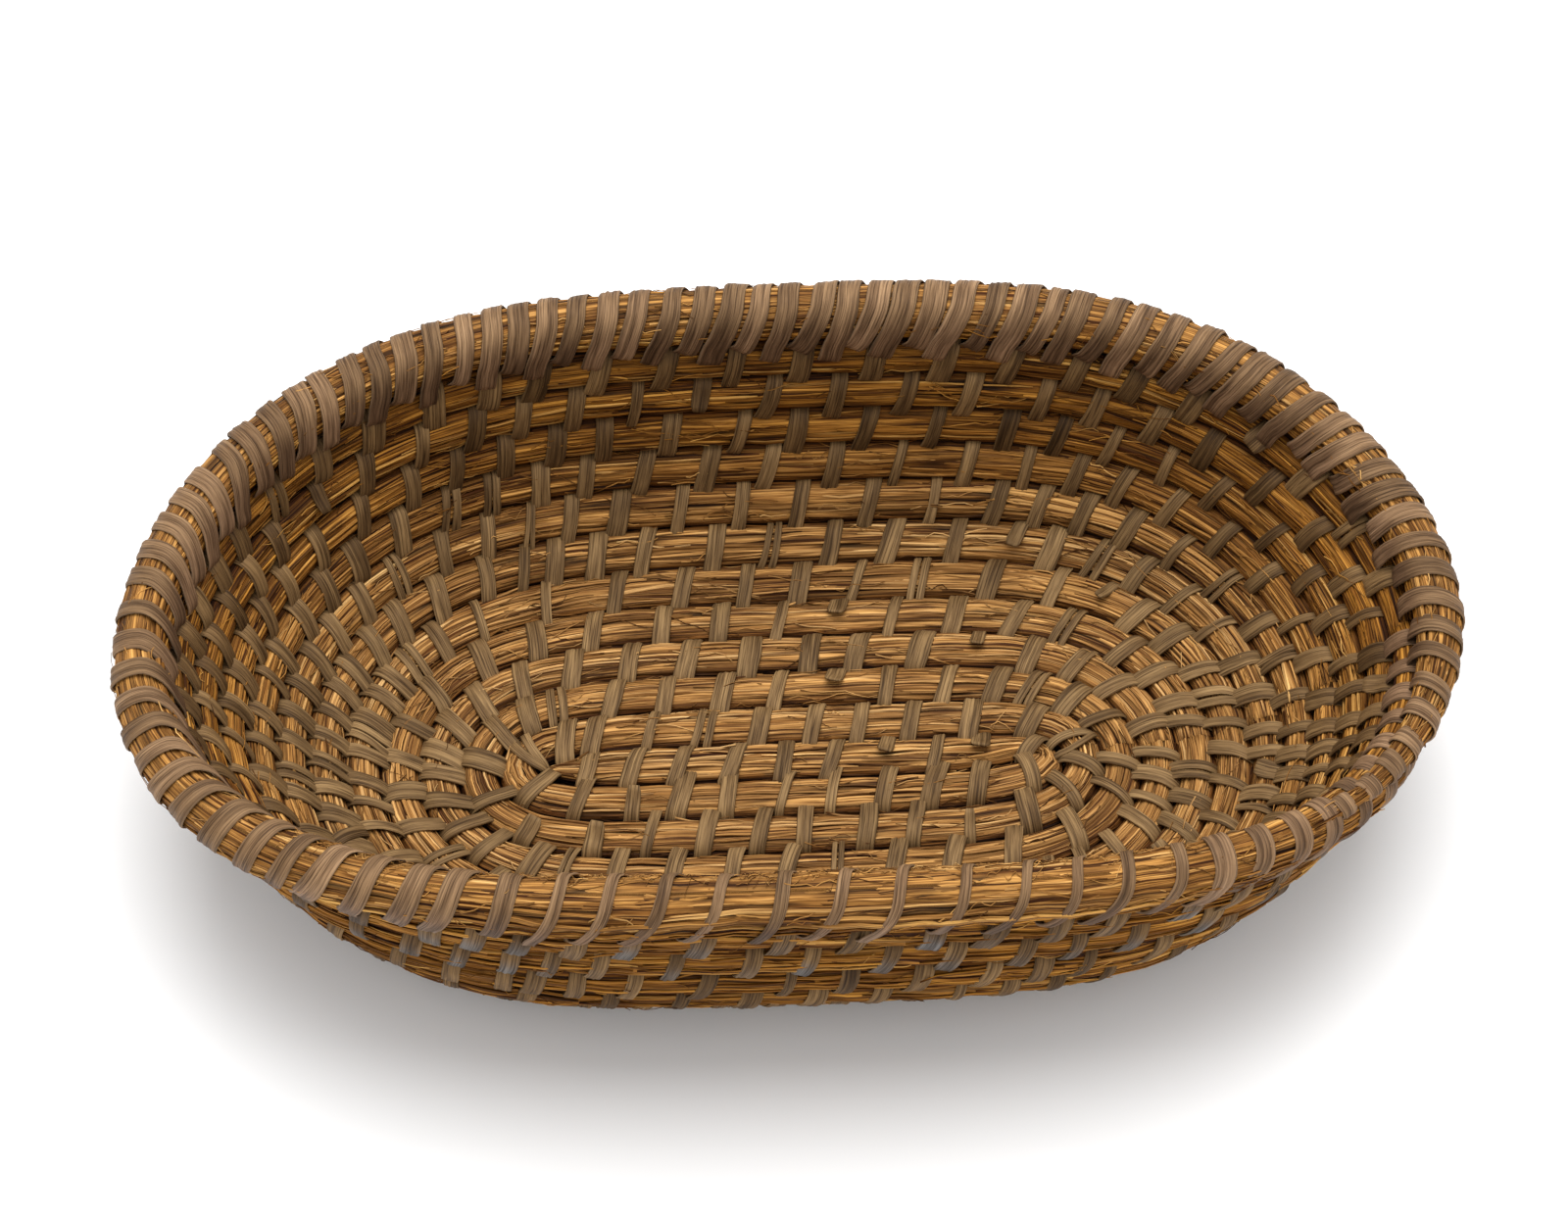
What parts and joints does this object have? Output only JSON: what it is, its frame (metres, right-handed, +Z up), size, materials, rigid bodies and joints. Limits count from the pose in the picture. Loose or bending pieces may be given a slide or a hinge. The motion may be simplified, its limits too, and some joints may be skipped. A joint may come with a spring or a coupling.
{
  "type": "oval coiled straw basket",
  "caption": "Shallow oval bowl-shaped basket of spiral straw bundles sewn row to row with flat split-wood splints and bound at the rim.",
  "frame": {"origin": "middle of the overall box, at the level of the surface it stands on", "axes": "+X along the length, with the coil's tapered end near the +X end on the -Y side; +Y across the width; +Z up"},
  "size_m": [0.4202, 0.2516, 0.101],
  "materials": {
    "straw": "dry, matt, aged straw",
    "splint": "matt, grey-brown, fine lengthwise grain",
    "rim_splint": "slightly polished by handling, red-brown"
  },
  "bodies": {
    "root": {"centre_coil": "straw", "coil_turn_01": "straw", "coil_turn_02": "straw", "coil_turn_03": "straw", "coil_turn_04": "straw", "coil_turn_05": "straw", "coil_turn_06": "straw", "coil_turn_07": "straw", "coil_turn_08": "straw", "coil_turn_09": "straw", "coil_turn_10": "straw", "coil_turn_11": "straw", "rim_coil": "straw", "stitches_00": "splint", "stitches_01": "splint", "stitches_02": "splint", "stitches_03": "splint", "stitches_04": "splint", "stitches_05": "splint", "stitches_06": "splint", "stitches_07": "splint", "stitches_08": "splint", "stitches_09": "splint", "stitches_10": "splint", "stitches_11": "splint", "rim_binding": "rim_splint"}
  },
  "joints": []
}
